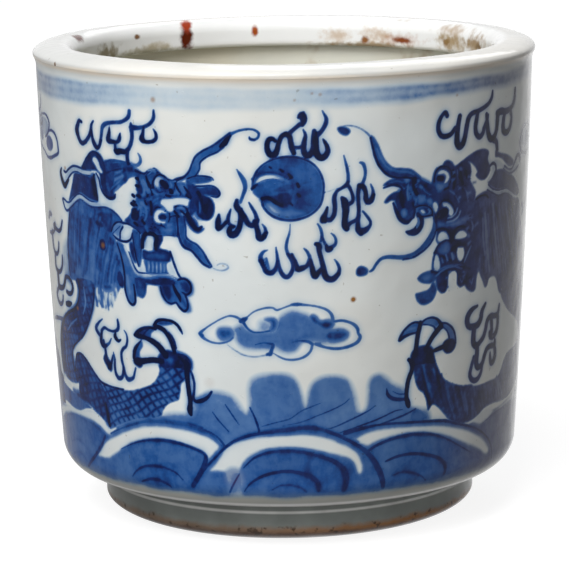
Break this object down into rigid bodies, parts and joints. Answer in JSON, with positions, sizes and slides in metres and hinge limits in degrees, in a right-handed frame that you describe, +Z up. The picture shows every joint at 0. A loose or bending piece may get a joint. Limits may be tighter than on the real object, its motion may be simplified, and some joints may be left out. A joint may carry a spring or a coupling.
{
  "type": "brush pot",
  "caption": "Round porcelain brush pot: tapering wall with a rolled lip, open top, base slab and turned foot ring, painted in cobalt blue under a pale glaze.",
  "frame": {"origin": "on the pot's axis, at the level of the surface that the foot ring stands on", "axes": "+Z up along the pot's axis; -Y towards the side that the picture shows; +X to that side's right"},
  "size_m": [0.1692, 0.1692, 0.16],
  "materials": {
    "lip_glaze": "glossy pale bluish-white glaze with small iron spots",
    "painted_glaze": "cobalt blue dragons, clouds and waves under glossy pale glaze",
    "plain_glaze": "plain pale glaze",
    "foot_glaze": "grey-green glaze that stops short of a burnt brown unglazed edge"
  },
  "bodies": {
    "root": {"foot_ring": "foot_glaze", "base_slab": "plain_glaze", "body_wall": "painted_glaze", "rim_lip": "lip_glaze"}
  },
  "joints": []
}
